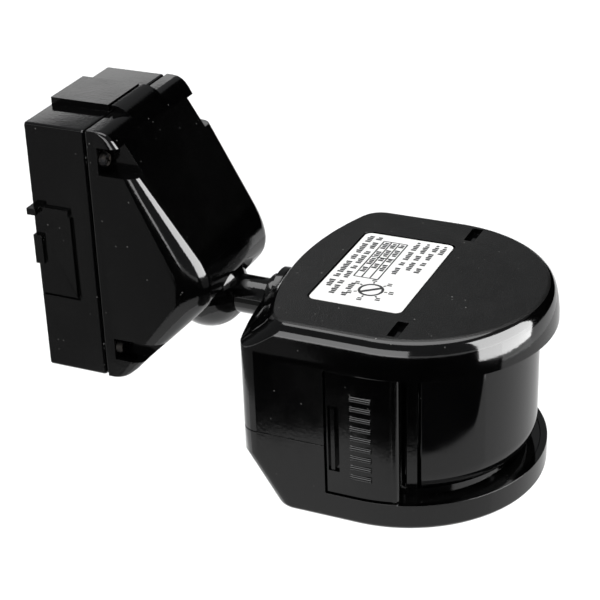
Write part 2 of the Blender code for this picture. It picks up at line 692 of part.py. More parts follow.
def make_label(mat, frame, place):
    length, width = LABEL_SIZE
    label = box_mesh("label_plate", (LABEL_CENTRE_X - length / 2, -width / 2, -0.45),
                     (LABEL_CENTRE_X + length / 2, width / 2, -0.2))
    add_object("label_plate", label, mat, at=place, parent=frame)


# ---------------------------------------------------------------- adjustment bay

def side_path(inset, start_x, end_x, steps=10):
    """The near side of the head's outline from one x to another, moved inwards."""
    radius = HEAD_RADIUS - inset
    points = []
    for i in range(steps + 1):
        x = start_x + (end_x - start_x) * i / steps
        points.append((x, -radius if x < 0 else -math.sqrt(radius ** 2 - x ** 2)))
    return points


def make_door(mat, pin_mat, frame, place):
    """A curved door on an upright pin at its front edge, with a finger grip."""
    hinge = door_hinge()
    low, high = DOOR_Z[0] + GAP, DOOR_Z[1] - GAP
    start, end = DOOR_X[0] + GAP, DOOR_X[1]
    outer = side_path(0.7, start, end)
    inner = side_path(0.7 + DOOR_THICKNESS, start, end)
    shift = Vector((-hinge.x, -hinge.y))
    outline = [(x + shift.x, y + shift.y) for x, y in outer + inner[::-1]]
    at = Vector(place) + hinge
    door = add_object("adjustment_door", prism_mesh("adjustment_door", outline, low, high),
                      mat, at=at, parent=frame)
    fuse(door, rod_mesh("knuckle", (0, 0, low), (0, 0, high), 1.9, sides=16))
    cut(door, rod_mesh("pin_bore", (0, 0, low - 1), (0, 0, high + 1), PIN_RADIUS + GAP, sides=16))
    grip_x = DOOR_X[0] + 2.6 - hinge.x
    grip_y = -HEAD_RADIUS + 0.7 - hinge.y
    cut(door, box_mesh("grip_well", (grip_x - 1.8, grip_y - 1, -47.0),
                       (grip_x + 1.8, grip_y + 1.1, -24.0)))
    fuse(door, box_mesh("grip_bar", (grip_x - 0.6, grip_y - 0.5, -46.0),
                        (grip_x + 0.6, grip_y + 1.4, -25.0)))
    pin = rod_mesh("door_pin", (0, 0, DOOR_Z[0] - 1.6), (0, 0, DOOR_Z[1] + 1.6), PIN_RADIUS,
                   sides=16)
    add_object("door_pin", pin, pin_mat, at=at, parent=frame)


def make_controls(board_mat, trimmer_mat, knob_mat, frame, place):
    """The board behind the door, with the two trimmers and their slotted knobs."""
    x, y = CONTROL_X, CONTROL_Y
    board = box_mesh("control_board", (x - 6.8, y, -55.0), (x + 6.8, y + 1.6, -14.6))
    add_object("control_board", board, board_mat, at=place, parent=frame)
    half = 4.6
    for name, z in (("time", TIME_Z), ("light", LIGHT_Z)):
        case = box_mesh(f"{name}_trimmer", (x - half, y - 3.6, z - half),
                        (x + half, y - GAP, z + half))
        body = add_object(f"{name}_trimmer", case, trimmer_mat, at=place, parent=frame)
        cut(body, rod_mesh("socket", (x, y - 5, z), (x, y - 1.6, z), 3.3))
        axis = Vector(place) + Vector((x, y - 1.9, z))
        disc = rod_mesh(f"{name}_knob", (0, 0, 0), (0, -3.6, 0), 3.0)
        knob = add_object(f"{name}_knob", disc, knob_mat, at=axis, parent=frame)
        cut(knob, box_mesh("slot", (-2.3, -4, -0.5), (2.3, -2.4, 0.5)))
        cut(knob, box_mesh("slot", (-0.4, -4, -2.3), (0.4, -2.8, 0.2)))


# ---------------------------------------------------------------- electronics

def make_electronics(mats, frame, place):
    """An upright board behind the lens, with the detector facing forward."""
    def add(name, mesh, mat):
        return add_object(name, mesh, mats[mat], at=place, parent=frame)

    face = BOARD_X
    back = face - 1.6
    add("circuit_board", box_mesh("circuit_board", (back, -25.0, -52.0), (face, 25.0, -13.5)),
        "board")
    centre_z = -31.0
    profile = [(0, 4.4), (3.6, 4.4), (4.1, 3.9), (4.1, 0.8), (4.7, 0.8), (4.7, GAP), (0, GAP)]
    mesh = turn_mesh(turned_mesh("pyro_sensor", profile, 24), (1, 0, 0), (face, 0, centre_z))
    can = add("pyro_sensor", mesh, "steel")
    cut(can, box_mesh("window", (face + 4.0, -2.0, centre_z - 1.5),
                      (face + 6, 2.0, centre_z + 1.5)))
    back -= GAP
    case = box_mesh("relay", (back - 15.5, -20.0, -47.0), (back, -1.0, -31.5))
    round_edges(add("relay", case, "relay"), 0.6)
    profile = [(0, 0), (5.0, 0), (5.0, -1.2), (4.6, -1.8), (5.0, -2.4), (5.0, -12.0), (0, -12.0)]
    mesh = turned_mesh("capacitor", profile, 20)
    add("capacitor", turn_mesh(mesh, (-1, 0, 0), (back - 12, 10, -42)), "relay")
    profile = [(0, 3.0), (1.6, 2.6), (2.5, 1.4), (2.5, GAP), (0, GAP)]
    mesh = turn_mesh(turned_mesh("photocell", profile, 16), (1, 0, 0), (face, 14.0, -19.0))
    add("photocell", mesh, "cream")


def main():
    clear_scene()
    bpy.context.scene.collection.children.link(part)
    bpy.context.scene.collection.children.link(cutters)
    black = plastic("black_plastic", (0.012, 0.012, 0.013), 0.22)
    satin = plastic("satin_black_plastic", (0.03, 0.03, 0.031), 0.5)
    rubber = plastic("black_rubber", (0.015, 0.015, 0.015), 0.7)
    lens_black = plastic("lens_black", (0.02, 0.02, 0.022), 0.08)
    steel = plastic("zinc_steel", (0.6, 0.6, 0.58), 0.35, metallic=1.0)
    brass = plastic("brass", (0.75, 0.55, 0.25), 0.35, metallic=1.0)
    white = plastic("label_white", (0.85, 0.85, 0.85), 0.45)
    cream = plastic("cream_plastic", (0.75, 0.7, 0.58), 0.5)
    board = plastic("board_green", (0.05, 0.2, 0.08), 0.45)
    blue = plastic("relay_blue", (0.04, 0.1, 0.35), 0.35)

    make_wall_box(black)
    make_cable_grommet(rubber)
    make_terminals(cream, brass)
    make_base_gasket(rubber)
    make_base_cover(black)
    make_cover_screws(steel)
    make_clamp_cup(black, steel)

    pan = empty("pan_axis", BALL)
    tilt = empty("tilt_axis", (0, 0, 0), pan)
    roll = empty("roll_axis", (0, 0, 0), tilt)
    place = HEAD - BALL
    make_ball(black, pan)
    make_neck(black, brass, tilt, roll)
    make_top_shell(satin, roll, place)
    make_bottom_shell(black, roll, place)
    make_case_screws(steel, roll, place)
    make_lens(lens_black, roll, place)
    make_lens_frame(black, roll, place)
    make_label(white, roll, place)
    make_door(black, steel, roll, place)
    make_controls(board, blue, white, roll, place)
    make_electronics({"board": board, "steel": steel, "relay": blue, "cream": cream}, roll, place)


main()
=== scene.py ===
"""The finished surface of an outdoor motion sensor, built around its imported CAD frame.

Lengths in this file are millimetres, in the CAD's frame, until finish_mesh() turns
them into metres. The head's pieces are written from the centre of its round front
at the height of its top face; HEAD is where that point stands.
"""
import math

import bmesh
import bpy
from mathutils import Matrix, Vector
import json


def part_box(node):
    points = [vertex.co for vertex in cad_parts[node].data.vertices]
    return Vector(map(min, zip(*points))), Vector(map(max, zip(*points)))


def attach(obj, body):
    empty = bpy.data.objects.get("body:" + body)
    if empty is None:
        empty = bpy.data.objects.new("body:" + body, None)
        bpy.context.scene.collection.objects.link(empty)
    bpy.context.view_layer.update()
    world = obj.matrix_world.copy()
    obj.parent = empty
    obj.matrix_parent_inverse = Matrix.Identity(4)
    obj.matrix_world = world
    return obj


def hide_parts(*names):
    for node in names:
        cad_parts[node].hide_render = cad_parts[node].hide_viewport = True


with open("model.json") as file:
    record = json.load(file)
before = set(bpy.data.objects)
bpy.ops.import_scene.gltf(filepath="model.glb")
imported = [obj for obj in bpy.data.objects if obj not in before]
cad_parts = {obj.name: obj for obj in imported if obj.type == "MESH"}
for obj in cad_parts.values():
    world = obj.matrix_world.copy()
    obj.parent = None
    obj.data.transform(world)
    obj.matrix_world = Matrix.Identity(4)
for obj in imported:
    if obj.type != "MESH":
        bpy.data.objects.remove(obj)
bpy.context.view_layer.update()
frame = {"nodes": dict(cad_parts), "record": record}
SLOTS = {part["node"]: part["material_slot"] for part in frame["record"]["subparts"]}

MM = 0.001
MERGE_DISTANCE = 0.00002        # metres


def node_box(node):
    """A node's lowest and highest corner, in millimetres."""
    low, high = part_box(node)
    return low / MM, high / MM


COVER_LOW, COVER_HIGH = node_box("base_cover")
BALL_LOW, BALL_HIGH = node_box("pivot_ball")
LENS_HIGH = node_box("lens")[1]
SHELL_LOW, SHELL_HIGH = node_box("top_shell")
TRAY_LOW = node_box("bottom_shell")[0]
LABEL_LOW, LABEL_HIGH = node_box("label_plate")

BALL = (BALL_LOW + BALL_HIGH) / 2
BALL_RADIUS = (BALL_HIGH.y - BALL_LOW.y) / 2
COVER_HALF = 43.0               # half the cover's height, without its hood
NECK_SEAT = BALL.x + 24.8       # where the neck's flange meets the head
NECK_BORE = 4.0                 # radius of the wire passage through ball and neck
NECK_ROD = 6.9                  # the neck's radius with room to move
NECK_SWING = math.radians(25)   # how far the cover's slot lets the neck swing
NECK_LIFT = math.radians(12)    # and how far up
LENS_RADIUS = 41.0
HEAD = Vector((LENS_HIGH.x - LENS_RADIUS, 0.0, SHELL_HIGH.z))
HEAD_RADIUS = SHELL_HIGH.y
HEAD_HEIGHT = SHELL_HIGH.z - TRAY_LOW.z
VISOR_SHIFT = SHELL_HIGH.x - HEAD.x - HEAD_RADIUS
VISOR_BOTTOM = -12.0
REAR_X = SHELL_LOW.x - HEAD.x
REAR_SAG = 6.5
TOP_SAG = 9.0
SEAM_Z = -38.2                  # where the upper and lower shells meet
TRAY_TOP = -55.6                # the tray's rim below the lens
COLUMN_X = 12.4                 # where the shell's sides end beside the lens
WALL = 2.2                      # moulding thickness
GAP = 0.3                       # clearance between pieces
DOOR_X = (-10.0, 11.8)
DOOR_Z = (-55.0, -12.6)
DOOR_SINK = 0.7                 # how far the door's face lies behind the head's side
DOOR_RIBS = 9
DOOR_RIB_PITCH = 3.4
FLOOR_Z = -260
FLOOR_HALF = 20000              # half the floor's width
ROOM = 5000                     # radius and height of the pale backdrop
TABLE_FAR = 3000                # how far out the table cards reach
BACK = 1500                     # radius of the cards behind the object


# ---------------------------------------------------------------- meshes

def finish_mesh(name, bm):
    bmesh.ops.scale(bm, vec=(MM, MM, MM), verts=bm.verts)
    bmesh.ops.recalc_face_normals(bm, faces=bm.faces)
    mesh = bpy.data.meshes.new(name)
    bm.to_mesh(mesh)
    bm.free()
    return mesh


def box_mesh(low, high):
    bm = bmesh.new()
    bmesh.ops.create_cube(bm, size=1.0)
    bmesh.ops.scale(bm, vec=[b - a for a, b in zip(low, high)], verts=bm.verts)
    bmesh.ops.translate(bm, vec=[(a + b) / 2 for a, b in zip(low, high)], verts=bm.verts)
    return finish_mesh("box", bm)


def rod_mesh(start, end, radius, sides=48):
    start, end = Vector(start), Vector(end)
    axis = end - start
    turn = axis.to_track_quat("Z", "Y").to_matrix().to_4x4()
    bm = bmesh.new()
    bmesh.ops.create_cone(
        bm, cap_ends=True, segments=sides, radius1=radius, radius2=radius, depth=axis.length,
        matrix=Matrix.Translation((start + end) / 2) @ turn)
    return finish_mesh("rod", bm)


def ball_mesh(centre, radius):
    bm = bmesh.new()
    bmesh.ops.create_uvsphere(bm, u_segments=96, v_segments=64, radius=radius,
                              matrix=Matrix.Translation(centre))
    return finish_mesh("ball", bm)


def loft_mesh(rings):
    """A closed solid through rings that have the same number of points."""
    bm = bmesh.new()
    rows = [[bm.verts.new(p) for p in ring] for ring in rings]
    count = len(rows[0])
    for lower, upper in zip(rows, rows[1:]):
        for i in range(count):
            j = (i + 1) % count
            bm.faces.new((lower[i], lower[j], upper[j], upper[i]))
    bm.faces.new(rows[0][::-1])
    bm.faces.new(rows[-1])
    return finish_mesh("loft", bm)


def prism_mesh(outline, low, high):
    return loft_mesh([[(x, y, z) for x, y in outline] for z in (low, high)])


def turned_mesh(profile, steps=64):
    """A ring from a closed (radius, height) outline about Z."""
    bm = bmesh.new()
    rows = []
    for i in range(steps):
        a = 2 * math.pi * i / steps
        rows.append([bm.verts.new((r * math.cos(a), r * math.sin(a), h)) for r, h in profile])
    count = len(profile)
    for i in range(steps):
        here, after = rows[i], rows[(i + 1) % steps]
        for k in range(count):
            m = (k + 1) % count
            if profile[k][0] < 1e-6 and profile[m][0] < 1e-6:
                continue
            bm.faces.new((here[k], here[m], after[m], after[k]))
    bmesh.ops.remove_doubles(bm, verts=bm.verts, dist=1e-5)
    return finish_mesh("turned", bm)


def turn_mesh(mesh, axis, centre=(0, 0, 0)):
    turn = Vector(axis).to_track_quat("Z", "Y").to_matrix().to_4x4()
    mesh.transform(Matrix.Translation(Vector(centre) * MM) @ turn)
    return mesh


def moved(mesh, offset):
    mesh.transform(Matrix.Translation(Vector(offset) * MM))
    return mesh


def new_object(name, mesh):
    item = bpy.data.objects.new(name, mesh)
    bpy.context.scene.collection.objects.link(item)
    return item


def evaluated(item):
    """Apply an object's modifiers."""
    bpy.context.view_layer.update()
    mesh = bpy.data.meshes.new_from_object(
        item.evaluated_get(bpy.context.evaluated_depsgraph_get()))
    item.modifiers.clear()
    item.data = mesh
    return item


def carve(item, cuts=(), joins=()):
    """Boolean meshes into an object: first what joins it, then what is cut from it."""
    for operation, meshes in (("UNION", joins), ("DIFFERENCE", cuts)):
        for mesh in meshes:
            tool = new_object("tool", mesh)
            step = item.modifiers.new("step", "BOOLEAN")
            step.operation = operation
            step.solver = "EXACT"
            step.object = tool
            evaluated(item)
            bpy.data.objects.remove(tool)
    return item


def soften(item, width=0.25, segments=3, angle=32):
    """Clean the faces a Boolean leaves, round the sharp edges and shade smooth."""
    bm = bmesh.new()
    bm.from_mesh(item.data)
    bmesh.ops.remove_doubles(bm, verts=bm.verts, dist=MERGE_DISTANCE)
    bmesh.ops.dissolve_limit(bm, angle_limit=math.radians(0.4), verts=bm.verts, edges=bm.edges,
                             delimit={"MATERIAL"})
    bm.to_mesh(item.data)
    bm.free()
    item.data.shade_smooth()
    bevel = item.modifiers.new("rounded", "BEVEL")
    bevel.width = width * MM
    bevel.segments = segments
    bevel.limit_method = "ANGLE"
    bevel.angle_limit = math.radians(angle)
    bevel.use_clamp_overlap = True
    weigh = item.modifiers.new("weighted", "WEIGHTED_NORMAL")
    weigh.mode = "FACE_AREA"
    weigh.weight = 100
    return evaluated(item)


def place(item, body, material, *nodes, extra=()):
    """Give a finished piece its materials and body; it stands for the CAD nodes named."""
    item.data.materials.clear()
    for mat in (material, *extra):
        item.data.materials.append(mat)
    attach(item, body)
    if nodes:
        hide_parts(*nodes)
    return item


def arc(centre_x, radius, start, end, steps):
    step = (end - start) / steps
    return [(centre_x + radius * math.cos(start + step * i),
             radius * math.sin(start + step * i)) for i in range(steps + 1)]


def ring_sector(inner, outer, start, end, steps=72):
    """The outline of part of a ring between two angles."""
    return arc(0, outer, start, end, steps) + arc(0, inner, end, start, steps)


def bezier(a, b, c, steps):
    """Points of a quadratic curve from a to c, drawn towards b."""
    points = []
    for i in range(steps + 1):
        t = i / steps
        points.append(tuple((1 - t) ** 2 * p + 2 * t * (1 - t) * q + t * t * r
                            for p, q, r in zip(a, b, c)))
    return points


# ---------------------------------------------------------------- materials

def shader_tree(name):
    mat = bpy.data.materials.new(name)
    mat.use_nodes = True
    tree = mat.node_tree
    shader = tree.nodes["Principled BSDF"]
    coords = tree.nodes.new("ShaderNodeTexCoord")
    return mat, tree, shader, coords.outputs["Object"]


def noise(tree, coords, scale, detail=4.0, roughness=0.6):
    node = tree.nodes.new("ShaderNodeTexNoise")
    node.inputs["Scale"].default_value = scale
    node.inputs["Detail"].default_value = detail
    node.inputs["Roughness"].default_value = roughness
    tree.links.new(coords, node.inputs["Vector"])
    return node.outputs["Fac"]


def remap(tree, value, low, high, new_low, new_high):
    node = tree.nodes.new("ShaderNodeMapRange")
    for key, number in (("From Min", low), ("From Max", high), ("To Min", new_low),
                        ("To Max", new_high)):
        node.inputs[key].default_value = number
    tree.links.new(value, node.inputs["Value"])
    return node.outputs["Result"]


def blend_colours(tree, factor, first, second):
    node = tree.nodes.new("ShaderNodeMix")
    node.data_type = "RGBA"
    for socket, colour in ((node.inputs[6], first), (node.inputs[7], second)):
        if isinstance(colour, bpy.types.NodeSocket):
            tree.links.new(colour, socket)
        else:
            socket.default_value = (*colour, 1.0)
    tree.links.new(factor, node.inputs[0])
    return node.outputs[2]


def combine_values(tree, operation, first, second):
    node = tree.nodes.new("ShaderNodeMath")
    node.operation = operation
    node.use_clamp = True
    for socket, value in ((node.inputs[0], first), (node.inputs[1], second)):
        if isinstance(value, bpy.types.NodeSocket):
            tree.links.new(value, socket)
        else:
            socket.default_value = value
    return node.outputs[0]


def edge_wear(tree):
    """Bright where the surface is convex: edges that handling has rubbed."""
    geometry = tree.nodes.new("ShaderNodeNewGeometry")
    return remap(tree, geometry.outputs["Pointiness"], 0.53, 0.62, 0.0, 1.0)


def bump(tree, shader, height, strength, distance):
    node = tree.nodes.new("ShaderNodeBump")
    node.inputs["Strength"].default_value = strength
    node.inputs["Distance"].default_value = distance
    tree.links.new(height, node.inputs["Height"])
    tree.links.new(node.outputs["Normal"], shader.inputs["Normal"])


def plastic(name, colour, worn, roughness, grain, grain_scale, dust=0.0, specular=0.5):
    """Moulded plastic: flow marks, grain, rubbed edges, specks of dust, smears in the gloss."""
    mat, tree, shader, coords = shader_tree(name)
    shader.inputs["Specular IOR Level"].default_value = specular
    flow = noise(tree, coords, 45.0, 3.0)
    smear = noise(tree, coords, 160.0, 5.0, 0.7)
    fine = noise(tree, coords, grain_scale, 2.0, 0.5)
    base = blend_colours(tree, remap(tree, flow, 0.35, 0.65, 0.0, 1.0), colour,
                         [c * 1.35 + 0.0003 for c in colour])
    base = blend_colours(tree, combine_values(tree, "MULTIPLY", edge_wear(tree), smear),
                         base, worn)
    if dust:
        specks = tree.nodes.new("ShaderNodeTexVoronoi")
        specks.inputs["Scale"].default_value = 420.0
        tree.links.new(coords, specks.inputs["Vector"])
        sparse = remap(tree, noise(tree, coords, 210.0, 1.0), 0.58, 0.66, 0.0, 1.0)
        speck = combine_values(tree, "MULTIPLY", remap(
            tree, specks.outputs["Distance"], 0.05, 0.12, 1.0, 0.0), sparse)
        base = blend_colours(tree, combine_values(tree, "MULTIPLY", speck, dust), base,
                             (0.45, 0.45, 0.43))
    tree.links.new(base, shader.inputs["Base Color"])
    low, high = roughness
    rough = remap(tree, smear, 0.3, 0.72, low, high)
    tree.links.new(rough, shader.inputs["Roughness"])
    height = combine_values(tree, "ADD", combine_values(tree, "MULTIPLY", fine, 0.85),
                            combine_values(tree, "MULTIPLY", flow, 0.12))
    bump(tree, shader, height, grain, 0.0004)
    return mat


def metal(name, colour, roughness, tarnish):
    """Plated or bare metal with clouds of tarnish and a fine grain."""
    mat, tree, shader, coords = shader_tree(name)
    shader.inputs["Metallic"].default_value = 1.0
    cloud = noise(tree, coords, 380.0, 5.0)
    fine = noise(tree, coords, 2400.0, 3.0)
    tree.links.new(blend_colours(tree, remap(tree, cloud, 0.4, 0.7, 0.0, 1.0), colour, tarnish),
                   shader.inputs["Base Color"])
    tree.links.new(remap(tree, cloud, 0.3, 0.7, roughness, roughness + 0.2),
                   shader.inputs["Roughness"])
    bump(tree, shader, fine, 0.25, 0.0002)
    return mat


def board(name):
    """Green solder mask with lighter copper tracks in rows under it."""
    mat, tree, shader, coords = shader_tree(name)
    turned = tree.nodes.new("ShaderNodeMapping")
    turned.inputs["Rotation"].default_value = (math.pi / 2, 0.0, 0.0)
    tree.links.new(coords, turned.inputs["Vector"])
    cells = tree.nodes.new("ShaderNodeTexBrick")
    for key, number in (("Scale", 300.0), ("Mortar Size", 0.06), ("Mortar Smooth", 0.1),
                        ("Brick Width", 1.7), ("Row Height", 0.5)):
        cells.inputs[key].default_value = number
    tree.links.new(turned.outputs["Vector"], cells.inputs["Vector"])
    track = remap(tree, cells.outputs["Fac"], 0.3, 0.7, 0.0, 1.0)
    tree.links.new(blend_colours(tree, track, (0.012, 0.09, 0.03), (0.05, 0.2, 0.07)),
                   shader.inputs["Base Color"])
    tree.links.new(remap(tree, noise(tree, coords, 300.0), 0.3, 0.7, 0.25, 0.45),
                   shader.inputs["Roughness"])
    bump(tree, shader, track, 0.4, 0.0002)
    return mat


def paper(name, colour, stain):
    """Coated label stock, or the ink on it: faint clouds and fine fibres."""
    mat, tree, shader, coords = shader_tree(name)
    cloud = noise(tree, coords, 60.0, 5.0)
    fibre = noise(tree, coords, 1800.0, 3.0)
    tree.links.new(blend_colours(tree, remap(tree, cloud, 0.4, 0.75, 0.0, 1.0), colour, stain),
                   shader.inputs["Base Color"])
    tree.links.new(remap(tree, fibre, 0.3, 0.7, 0.38, 0.55), shader.inputs["Roughness"])
    bump(tree, shader, fibre, 0.12, 0.0002)
    return mat


def smoked_lens(name):
    """Dark polished window with a slow moulding ripple."""
    mat, tree, shader, coords = shader_tree(name)
    cloud = noise(tree, coords, 70.0, 4.0)
    ripple = noise(tree, coords, 22.0, 1.0)
    tree.links.new(blend_colours(tree, cloud, (0.0008, 0.0008, 0.0009), (0.0018, 0.0018, 0.002)),
                   shader.inputs["Base Color"])
    tree.links.new(remap(tree, cloud, 0.3, 0.7, 0.03, 0.07), shader.inputs["Roughness"])
    bump(tree, shader, ripple, 0.02, 0.001)
    return mat


GLOSS = plastic("gloss_black", (0.0006, 0.0006, 0.00065), (0.004, 0.004, 0.004),
                (0.05, 0.11), 0.022, 900.0, dust=0.25)
BASE = plastic("base_black", (0.0007, 0.0007, 0.00075), (0.0035, 0.0035, 0.0034),
               (0.06, 0.13), 0.05, 1100.0, dust=0.25)
SATIN = plastic("satin_black", (0.0019, 0.0019, 0.0018), (0.008, 0.008, 0.0075), (0.3, 0.42), 0.4,
                2300.0, dust=0.5, specular=0.3)
INNER = plastic("inner_black", (0.004, 0.004, 0.004), (0.02, 0.02, 0.02), (0.3, 0.5), 0.2, 1400.0)
RUBBER = plastic("rubber_black", (0.006, 0.006, 0.006), (0.02, 0.02, 0.02), (0.6, 0.8), 0.5,
                 1600.0)
CREAM = plastic("terminal_cream", (0.6, 0.55, 0.43), (0.7, 0.66, 0.56), (0.35, 0.5), 0.2, 900.0)
WHITE = plastic("knob_white", (0.66, 0.66, 0.63), (0.75, 0.75, 0.72), (0.35, 0.5), 0.2, 1200.0)
BLUE = plastic("trimmer_blue", (0.02, 0.07, 0.3), (0.05, 0.12, 0.4), (0.3, 0.45), 0.2, 1200.0)
SLEEVE = plastic("capacitor_black", (0.01, 0.01, 0.014), (0.04, 0.04, 0.05), (0.25, 0.4), 0.15,
                 700.0)
STEEL = metal("zinc_steel", (0.5, 0.5, 0.48), 0.3, (0.3, 0.28, 0.25))
BLACK_STEEL = metal("black_steel", (0.02, 0.02, 0.021), 0.32, (0.05, 0.045, 0.04))
BRASS = metal("brass", (0.7, 0.48, 0.2), 0.28, (0.4, 0.27, 0.12))
BOARD = board("board_green")
LABEL = paper("label_white", (0.88, 0.88, 0.87), (0.8, 0.8, 0.78))
INK = paper("label_ink", (0.01, 0.01, 0.011), (0.03, 0.03, 0.032))
LENS = smoked_lens("lens_smoked")

SLOT_LOOKS = {
    "base_shell": BASE, "head_shell": GLOSS, "joint_plastic": BASE, "inner_plastic": INNER,
    "lens": LENS, "rubber": RUBBER, "label": LABEL, "steel": STEEL,
    "black_steel": BLACK_STEEL, "brass": BRASS,
    "terminal_plastic": CREAM, "circuit_board": BOARD, "trimmer_plastic": BLUE,
    "knob_plastic": WHITE, "relay_plastic": BLUE, "capacitor_sleeve": SLEEVE}


def paint_frame():
    """Every CAD node that still shows gets the look of its slot."""
    for name, item in frame["nodes"].items():
        look = SLOT_LOOKS[SLOTS[name]]
        for index in range(len(item.material_slots)):
            item.material_slots[index].material = look


# ---------------------------------------------------------------- head

def head_outline(inset, rear_x, rear_sag, shift=0.0):
    """The head from above: round front, straight sides, rounded corners, arched rear."""
    corner = 5.0
    radius = HEAD_RADIUS - inset
    rear_radius = (radius ** 2 + rear_sag ** 2) / (2 * rear_sag)

    def rear_at(y):
        return rear_x + rear_radius - math.sqrt(rear_radius ** 2 - y ** 2)

    start_y = radius - corner
    corner_x = rear_at(radius)
    far = bezier((corner_x + corner, radius), (corner_x + 0.1, radius - 0.1),
                 (rear_at(start_y), start_y), 12)
    back = [(rear_at(start_y * (1 - 2 * i / 36)), start_y * (1 - 2 * i / 36))
            for i in range(1, 36)]
    near = [(x, -y) for x, y in reversed(far)]
    side = [((corner_x + corner) * t, radius) for t in (0.25, 0.5, 0.75)]
    return (arc(shift, radius, -math.pi / 2, math.pi / 2, 96) + side + far + back + near
            + [(x, -y) for x, y in reversed(side)])


def head_solid(inset=0.0, roof=0.0):
    """The whole head, or its hollow at an inset, from (height, step in, rear x, rear sag)."""
    foot_x = REAR_X + 10.5
    levels = [
        (0.0, 4.3, -36.0, TOP_SAG), (-0.1, 3.8, -36.2, TOP_SAG), (-0.4, 3.1, -36.5, TOP_SAG),
        (-0.95, 2.35, -36.9, TOP_SAG), (-1.8, 1.7, -37.5, TOP_SAG),
        (-2.9, 1.2, -38.3, TOP_SAG), (-4.4, 0.8, -39.6, 8.4), (-6.6, 0.4, -41.5, 7.6),
        (-9.6, 0.08, REAR_X, REAR_SAG), (VISOR_BOTTOM, 0.0, REAR_X, REAR_SAG)]
    below = [(VISOR_BOTTOM - 0.05, 0.0, REAR_X, REAR_SAG), (-46.5, 0.0, REAR_X, REAR_SAG),
             (-62.6, 0.0, foot_x, REAR_SAG), (-63.3, 0.15, foot_x + 0.45, REAR_SAG),
             (-63.8, 0.5, foot_x + 0.8, REAR_SAG), (-HEAD_HEIGHT, 1.2, foot_x + 1.5, REAR_SAG)]
    rings = []
    last = 1.0
    for index, (z, step, rear_x, sag) in enumerate(levels + below):
        if inset:
            z = max(min(z, -inset - roof), -HEAD_HEIGHT + inset)
            if z > last - 0.02:
                continue
        last = z
        shift = VISOR_SHIFT if index < len(levels) else 0.0
        rings.append([(x, y, z) for x, y in head_outline(inset + step, rear_x + inset, sag, shift)])
    return moved(loft_mesh(rings), HEAD)


def head_box(low, high):
    return moved(box_mesh(low, high), HEAD)


def head_rod(start, end, radius, sides=48):
    return moved(rod_mesh(start, end, radius, sides), HEAD)


def head_prism(outline, low, high):
    return moved(prism_mesh(outline, low, high), HEAD)


def door_bay():
    return head_box((DOOR_X[0] - GAP, -60, DOOR_Z[0] - GAP),
                    (COLUMN_X + 1, -HEAD_RADIUS + 7.0, DOOR_Z[1] + GAP))


def assign_top(item):
    """The flat top is satin; every edge and side is glossy."""
    for face in item.data.polygons:
        high = face.center.z / MM > HEAD.z - 0.25
        recess = face.center.z / MM > HEAD.z - 0.9 and face.normal.z > 0.9
        face.material_index = 1 if (high and face.normal.z > 0.96) or recess else 0


def make_top_shell():
    shell = new_object("head_top", head_solid())
    label_low, label_high = LABEL_LOW - HEAD, LABEL_HIGH - HEAD
    seat = BALL - HEAD
    joins = [head_rod((REAR_X + 0.6, 0, seat.z), (REAR_X + WALL + 0.8, 0, seat.z), 11)]
    cuts = [
        head_box((-70, -70, -90), (70, 70, SEAM_Z)), head_solid(WALL, 0.3),
        head_box((COLUMN_X, -60, -90), (70, 60, VISOR_BOTTOM)), door_bay(),
        rounded_slab(label_low.x - 0.6, label_high.x + 0.6, label_low.y - 0.6, label_high.y + 0.6,
                     -0.7, 1.0, 2.6)]
    for side in (-1, 1):
        ends = sorted((side * 29.2, side * 38.6))
        cuts.append(head_box((7.9, ends[0], -1.8), (11.4, ends[1], 1)))
    cuts.append(head_rod((REAR_X - 3, 0, seat.z), (REAR_X + 5, 0, seat.z), 5.8))
    cuts.append(moved(rod_mesh((REAR_X - 3, 0, seat.z), (NECK_SEAT + GAP - HEAD.x, 0, seat.z), 9.0),
                      HEAD))
    carve(shell, cuts[:2])
    carve(shell, cuts[2:], joins)
    soften(shell, 0.22, 2, angle=36)
    place(shell, "head", GLOSS, "top_shell", extra=(SATIN,))
    assign_top(shell)


def rounded_slab(x0, x1, y0, y1, z0, z1, radius):
    """A slab with rounded upright corners, in the head's frame."""
    steps = 8
    outline = []
    for cx, cy, start in ((x1 - radius, y1 - radius, 0), (x0 + radius, y1 - radius, 90),
                          (x0 + radius, y0 + radius, 180), (x1 - radius, y0 + radius, 270)):
        for i in range(steps + 1):
            a = math.radians(start + 90 * i / steps)
            outline.append((cx + radius * math.cos(a), cy + radius * math.sin(a)))
    return head_prism(outline, z0, z1)


def make_bottom_shell():
    shell = new_object("head_tray", head_solid())
    carve(shell, [head_box((-70, -70, SEAM_Z - GAP), (70, 70, 10)), head_solid(WALL),
                  head_box((COLUMN_X, -60, TRAY_TOP), (70, 60, 10)), door_bay()])
    wells = []
    for number in range(1, 5):
        low, high = node_box(f"case_screw_{number}")
        x, y = (low.x + high.x) / 2, (low.y + high.y) / 2
        wells.append((x - HEAD.x, y))
    joins, cuts = [], []
    for x, y in wells:
        joins.append(head_rod((x, y, -HEAD_HEIGHT + 1), (x, y, -59.8), 3.6, 32))
        cuts.append(head_rod((x, y, -70), (x, y, -59), 1.6, 24))
        cuts.append(head_rod((x, y, -70), (x, y, -61.8), 2.8, 32))
    carve(shell, cuts, joins)
    soften(shell, 0.25, 2, angle=36)
    place(shell, "head", GLOSS, "bottom_shell")


